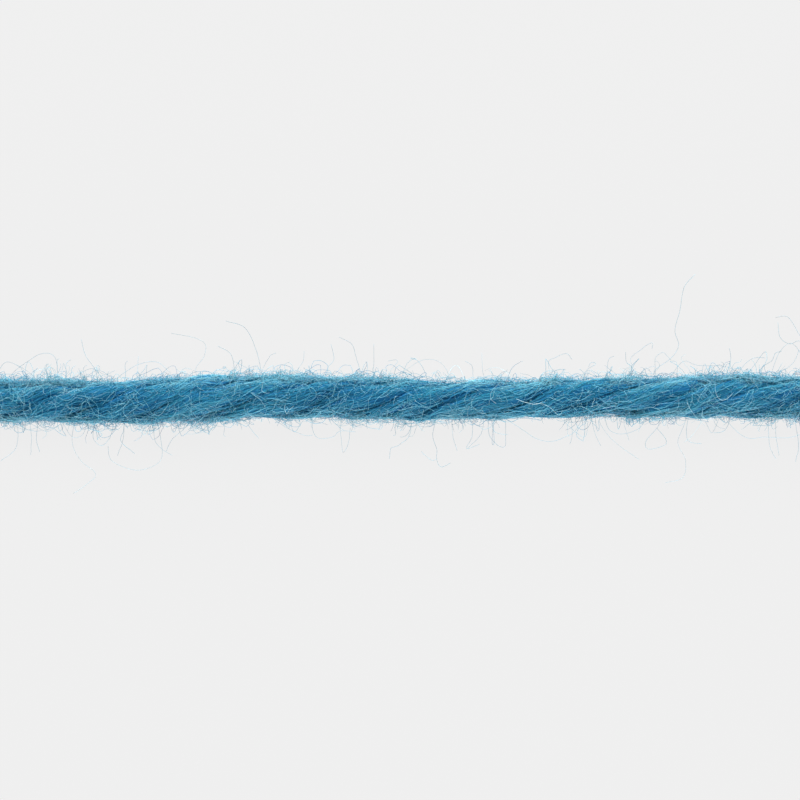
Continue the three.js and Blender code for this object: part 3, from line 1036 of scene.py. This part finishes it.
# The stray fibres that stand out one by one: shade 0 pale to 1 dark, and the
# line each follows seen from above, in mm.
STRAYS = [
    dict(shade=0.5, at=[(-22.4, 4.15), (-22.12, 3.1), (-21.42, 1.98)]),
    dict(shade=0.4, at=[(-15.96, 4.54), (-14.35, 4.22), (-13.58, 3.73), (-13.65, 2.89), (-14.21, 2.05)]),
    dict(shade=0.5, at=[(-12.74, 3.66), (-11.83, 3.1), (-11.55, 2.05)]),
    dict(shade=1.0, at=[(-12.18, 5.41), (-10.85, 4.92), (-10.08, 3.38), (-9.66, 1.91)]),
    dict(shade=0.4, at=[(-9.66, 1.91), (-9.1, 3.03), (-8.61, 3.31)]),
    dict(shade=0.4, at=[(-6.72, 3.31), (-6.79, 2.61), (-7.14, 2.05)]),
    dict(shade=0.6, at=[(-4.83, 3.8), (-4.62, 2.75), (-5.11, 2.19), (-5.11, 1.63)]),
    dict(shade=0.6, at=[(-4.27, 4.29), (-3.36, 3.8), (-3.08, 2.96), (-2.73, 1.91)]),
    dict(shade=0.5, at=[(-1.82, 3.8), (-1.82, 1.84)]),
    dict(shade=0.3, at=[(-0.84, 2.61), (-0.28, 2.68), (-0.21, 2.47), (-0.7, 1.84)]),
    dict(shade=0.2, at=[(0.21, 1.84), (1.4, 2.61), (2.31, 2.68), (3.01, 2.26), (3.36, 1.56)]),
    dict(shade=0.4, at=[(4.55, 2.61), (5.04, 2.26), (5.11, 1.42)]),
    dict(shade=0.3, at=[(2.45, 1.56), (2.66, 1.98), (2.94, 1.49)]),
    dict(shade=0.2, at=[(5.74, 3.17), (5.74, 1.98)]),
    dict(shade=0.5, at=[(10.57, 1.35), (10.43, 2.54), (10.99, 2.89), (11.76, 3.17), (12.18, 2.75)]),
    dict(shade=0.4, at=[(10.15, 1.56), (10.92, 1.98), (11.69, 2.05)]),
    dict(shade=0.4, at=[(12.6, 1.42), (13.09, 2.05), (13.65, 2.47), (13.3, 2.54), (13.16, 2.26)]),
    dict(shade=0.5, at=[(14.49, 1.91), (14.63, 2.75), (15.05, 2.96)]),
    dict(shade=0.7, at=[(15.82, 3.24), (15.89, 2.54), (16.24, 2.26), (16.1, 1.56)]),
    dict(shade=0.7, at=[(16.52, 1.42), (16.31, 2.26), (16.24, 2.82), (16.94, 3.38), (17.71, 3.87), (17.71, 3.38)]),
    dict(shade=0.4, at=[(17.85, 1.84), (17.85, 2.82), (18.41, 3.17), (18.97, 2.68)]),
    dict(shade=0.9, at=[(20.72, 8.7), (19.95, 7.79), (19.67, 6.18), (19.32, 4.78), (19.6, 3.66), (19.04, 2.75), (17.92, 1.91)]),
    dict(shade=0.6, at=[(18.97, 1.49), (19.88, 2.61), (20.86, 2.33), (22.89, 2.26), (24.22, 1.56)]),
    dict(shade=0.5, at=[(23.1, 3.52), (23.24, 2.82), (23.17, 1.98)]),
    dict(shade=0.5, at=[(23.87, 1.91), (24.71, 2.82), (25.55, 2.96)]),
    dict(shade=0.7, at=[(25.27, 1.63), (25.41, 2.19), (26.04, 2.68), (26.25, 3.17), (26.74, 3.31)]),
    dict(shade=0.5, at=[(25.76, 1.56), (27.3, 2.26), (28, 3.38)]),
    dict(shade=0.5, at=[(26.39, 5.69), (27.3, 5.69), (28.14, 4.29), (28.9, 2.9), (29.1, 1.6)]),
    dict(shade=0.5, at=[(26.6, 5.34), (26.74, 4.29), (27.44, 3.8), (28.14, 4.01), (29.3, 3.3), (29.8, 1.6)]),
    dict(shade=0.4, at=[(25.9, 1.7), (26.46, 3.24), (27.3, 3.8), (28.21, 2.68)]),
    dict(shade=0.6, at=[(-27.09, 1.7), (-26.04, 2.54), (-24.85, 3.17), (-24.08, 2.96), (-23.87, 1.84)]),
    dict(shade=0.6, at=[(-24.01, 1.63), (-24.08, 2.54), (-23.94, 2.68)]),
    dict(shade=0.6, at=[(-23.66, 1.56), (-23.52, 2.54), (-23.31, 1.84)]),
    dict(shade=0.5, at=[(-23.31, 1.42), (-23.38, 2.4), (-23.1, 2.68)]),
    dict(shade=0.6, at=[(-22.54, 1.56), (-21.56, 2.12), (-20.72, 1.7), (-20.02, 1.98)]),
    dict(shade=0.6, at=[(-22.26, 1.35), (-21.14, 1.91), (-20.3, 1.42)]),
    dict(shade=0.4, at=[(-19.81, 1.42), (-18.34, 2.4), (-17.01, 2.54), (-16.1, 1.77)]),
    dict(shade=0.3, at=[(-18.34, 1.56), (-18.34, 2.89)]),
    dict(shade=0.5, at=[(-28, 1.98), (-27.44, 2.54), (-26.6, 2.26), (-25.62, 1.56)]),
    dict(shade=0.6, at=[(-28, -4.39), (-26.95, -3.55), (-26.74, -2.29), (-27.02, -1.38)]),
    dict(shade=0.7, at=[(-25.83, -1.8), (-25.76, -2.78), (-25.83, -3.9)]),
    dict(shade=0.6, at=[(-25.41, -1.94), (-25.48, -2.92), (-25.34, -3.76)]),
    dict(shade=0.6, at=[(-27.44, -1.52), (-26.74, -1.94), (-25.9, -1.8), (-24.92, -2.22), (-24.01, -1.8)]),
    dict(shade=0.6, at=[(-27.16, -1.8), (-26.18, -2.22), (-25.2, -1.94), (-24.36, -1.59)]),
    dict(shade=0.3, at=[(-22.89, -1.94), (-22.96, -3.2), (-22.4, -4.32), (-21.35, -5.23), (-21.84, -5.86), (-22.89, -6.49)]),
    dict(shade=0.5, at=[(-23.66, -1.66), (-22.96, -2.71), (-22.26, -2.64), (-21.84, -1.8)]),
    dict(shade=0.4, at=[(-21.49, -1.8), (-21.49, -2.78), (-20.86, -3.34), (-20.3, -2.78), (-20.09, -1.8)]),
    dict(shade=0.9, at=[(-19.25, -1.52), (-19.32, -2.22), (-19.53, -2.99), (-18.62, -3.83)]),
    dict(shade=0.8, at=[(-19.46, -2.85), (-19.88, -3.9)]),
    dict(shade=0.3, at=[(-20.51, -3.34), (-20.23, -4.39), (-18.55, -5.09), (-17.15, -4.74), (-16.66, -3.9), (-16.94, -1.52)]),
    dict(shade=0.6, at=[(-17.29, -1.8), (-17.22, -2.92), (-16.8, -3.41), (-15.96, -3.97)]),
    dict(shade=0.6, at=[(-16.45, -3.76), (-16.03, -2.92), (-15.26, -2.22), (-14.56, -1.52)]),
    dict(shade=0.4, at=[(-15.05, -2.5), (-14, -2.43), (-12.95, -2.01), (-12.46, -1.38)]),
    dict(shade=0.5, at=[(-10.78, -1.52), (-10.29, -2.22), (-9.73, -2.78)]),
    dict(shade=0.5, at=[(-9.1, -1.24), (-7.91, -2.08), (-6.65, -2.64), (-6.16, -2.64)]),
    dict(shade=0.5, at=[(-6.09, -1.38), (-6.09, -2.22), (-5.67, -2.78), (-4.69, -2.71), (-4.13, -2.29), (-3.01, -2.36)]),
    dict(shade=0.3, at=[(-4.2, -1.94), (-4.13, -3.06), (-4.06, -3.83), (-3.71, -3.06), (-3.64, -2.08)]),
    dict(shade=0.6, at=[(0.84, -1.52), (0.63, -2.64), (-0.14, -3.27), (-0.7, -3.48), (-0.84, -4.18)]),
    dict(shade=0.6, at=[(2.52, -1.52), (2.31, -2.64), (2.59, -3.62), (2.59, -4.25), (2.94, -4.88), (3.64, -4.67)]),
    dict(shade=0.4, at=[(2.59, -4.25), (2.17, -4.32), (1.47, -3.69)]),
    dict(shade=0.6, at=[(3.64, -1.52), (3.71, -2.64), (3.99, -3.62)]),
    dict(shade=0.8, at=[(5.88, -1.52), (5.6, -2.57), (4.69, -3.55)]),
    dict(shade=0.6, at=[(5.11, -1.66), (5.04, -2.78), (4.69, -3.55), (5.6, -3.27)]),
    dict(shade=0.6, at=[(7.42, -1.52), (7.42, -2.71), (7.35, -3.41), (6.79, -3.27), (6.23, -2.5), (6.16, -1.52)]),
    dict(shade=0.7, at=[(7.49, -1.52), (8.4, -2.08), (9.31, -2.71), (10.22, -2.99), (10.92, -2.92), (11.48, -2.64), (12.11, -2.29), (12.6, -1.38)]),
    dict(shade=0.5, at=[(11.97, -1.52), (12.04, -2.36), (11.83, -3.2)]),
    dict(shade=0.6, at=[(11.2, -1.38), (12.11, -2.22), (12.95, -2.71), (13.09, -1.66)]),
    dict(shade=0.5, at=[(13.44, -1.38), (13.65, -2.36), (14.21, -3.34)]),
    dict(shade=0.5, at=[(14, -1.66), (14.7, -2.71), (15.54, -3.48), (16.8, -4.39)]),
    dict(shade=0.5, at=[(14.35, -1.31), (14.7, -2.22), (15.61, -2.5), (16.59, -2.22), (17.22, -1.52)]),
    dict(shade=0.5, at=[(15.68, -1.52), (15.89, -2.5), (16.1, -3.06)]),
    dict(shade=0.6, at=[(18.34, -1.52), (17.85, -2.22), (17.22, -2.99), (17.36, -3.55), (18.55, -3.27), (18.55, -2.78), (17.99, -2.08)]),
    dict(shade=0.5, at=[(20.09, -1.52), (20.02, -2.64), (20.3, -2.99), (21, -3.06)]),
    dict(shade=0.3, at=[(19.88, -1.8), (19.46, -2.92), (19.6, -3.55), (20.02, -4.39), (19.81, -5.58), (18.62, -5.93)]),
    dict(shade=0.4, at=[(21.42, -1.66), (21.91, -2.43), (22.4, -1.59)]),
    dict(shade=0.5, at=[(22.82, -1.52), (23.59, -2.36), (24.36, -2.78), (25.48, -2.71), (27.09, -2.78), (28.14, -2.5)]),
    dict(shade=0.6, at=[(26.32, -1.52), (26.32, -2.78), (26.53, -4.04)]),
    dict(shade=0.5, at=[(25.76, -1.8), (25.9, -3.34), (26.39, -4.18)]),
    dict(shade=0.6, at=[(27.72, -1.52), (28, -3.34), (27.86, -4.32)]),
]


def smooth_line(points, P):
    """Catmull-Rom through the points, evenly spaced."""
    q = np.array(points, float)
    q = np.concatenate([[2 * q[0] - q[1]], q, [2 * q[-1] - q[-2]]])
    out = []
    for i in range(1, len(q) - 2):
        t = np.linspace(0, 1, 24, endpoint=False)[:, None]
        a, b, c, d = q[i - 1], q[i], q[i + 1], q[i + 2]
        out.append(0.5 * (2 * b + (c - a) * t + (2 * a - 5 * b + 4 * c - d) * t**2 + (3 * b - a - 3 * c + d) * t**3))
    out = np.concatenate(out + [q[-2][None]])
    s = np.concatenate([[0], np.cumsum(np.linalg.norm(np.diff(out, axis=0), axis=1))])
    at = np.linspace(0, s[-1], P)
    return np.stack([np.interp(at, s, out[:, i]) for i in range(out.shape[1])], -1)


def rooted(points):
    """The points with the end nearer the strand carried on into it, where it stops short."""
    points = [tuple(p) for p in points]
    gap = [abs(y - middle_y(x)) - across(x) / 2 for x, y in (points[0], points[-1])]
    if min(gap) < 0.05 or min(gap) > 1.3:
        return points
    i = -1 if gap[1] <= gap[0] else 0
    x, y = points[i]
    root = (float(x) + 0.1, float(middle_y(x) + np.sign(y - middle_y(x)) * 0.42 * across(x)))
    return points + [root] if i else [root] + points


def strays(seed):
    g = np.random.default_rng(seed)
    fib = Fibres()
    P = 30
    for row in STRAYS:
        line = smooth_line(rooted(row["at"]), P) + np.array([0, 0.07])
        y0 = middle_y(line[:, 0])
        off = np.abs(line[:, 1] - y0)
        # near the strand they are at the height of its side; further off they rise or sink a little
        z = middle_z(line[:, 0]) + g.uniform(-0.5, 0.6) + g.normal(0, 0.12) * (off - 1.4)
        z = z + 0.10 * np.sin(np.linspace(0, 1, P) * g.uniform(3, 8) + g.uniform(0, 6.3))
        p = np.stack([line[:, 0], line[:, 1], np.maximum(z, 0.05)], -1)
        p[:, :2] += 0.012 * np.cumsum(g.normal(0, 1, (P, 2)), 0) * (np.linspace(0, 1, P)[:, None])
        share = np.linspace(0, 1, P)
        r = 0.0125 * g.uniform(0.9, 1.15) + 0 * share
        fib.add(p[None], r[None], np.clip(0.80 - 0.65 * row["shade"] + 0 * share, 0, 1)[None])
    return fib


finish(strays(88), "stray_fibres", STRAY)

# ---------------------------------------------------------------- the cord's centre line
line_x = np.linspace(-LENGTH / 2, LENGTH / 2, 70)
path = np.stack([line_x, middle_y(line_x), middle_z(line_x)], -1) * MM

# ---------------------------------------------------------------- floor, light, world
m, nt, bsdf = new_material("pale_floor")
bsdf.inputs["Base Color"].default_value = (0.03, 0.03, 0.03, 1)
bsdf.inputs["Roughness"].default_value = 1.0
bsdf.inputs["Specular IOR Level"].default_value = 0.0
bsdf.inputs["Emission Color"].default_value = (1, 1, 1, 1)
bsdf.inputs["Emission Strength"].default_value = 0.825
me = bpy.data.meshes.new("floor")
S = 1.5
me.from_pydata([(-S, -S, 0), (S, -S, 0), (S, S, 0), (-S, S, 0)], [], [(0, 1, 2, 3)])
me.materials.append(m)
floor = bpy.data.objects.new("floor", me)
scene.collection.objects.link(floor)

world = bpy.data.worlds.new("world")
world.use_nodes = True
world.node_tree.nodes["Background"].inputs["Color"].default_value = (1.0, 1.0, 1.0, 1)
world.node_tree.nodes["Background"].inputs["Strength"].default_value = 0.33
scene.world = world


def area(name, position, size, power, colour):
    d = bpy.data.lights.new(name, "AREA")
    d.shape, d.size, d.size_y, d.energy, d.color = "RECTANGLE", size[0], size[1], power, colour
    o = bpy.data.objects.new(name, d)
    o.location = position
    v = np.array(position, float)
    pitch = math.atan2(math.hypot(v[0], v[1]), v[2])
    yaw = math.atan2(v[1], v[0]) + math.pi / 2
    o.rotation_euler = (pitch, 0, yaw)
    scene.collection.objects.link(o)
    return o


area("key", (0.03, 0.53, 0.32), (0.7, 0.7), 9.8, (1.0, 1.0, 1.0))
area("fill", (0.0, -0.55, 0.07), (0.7, 0.12), 4.2, (1.0, 1.0, 1.0))

scene.view_settings.view_transform = "Standard"
scene.view_settings.look = "None"
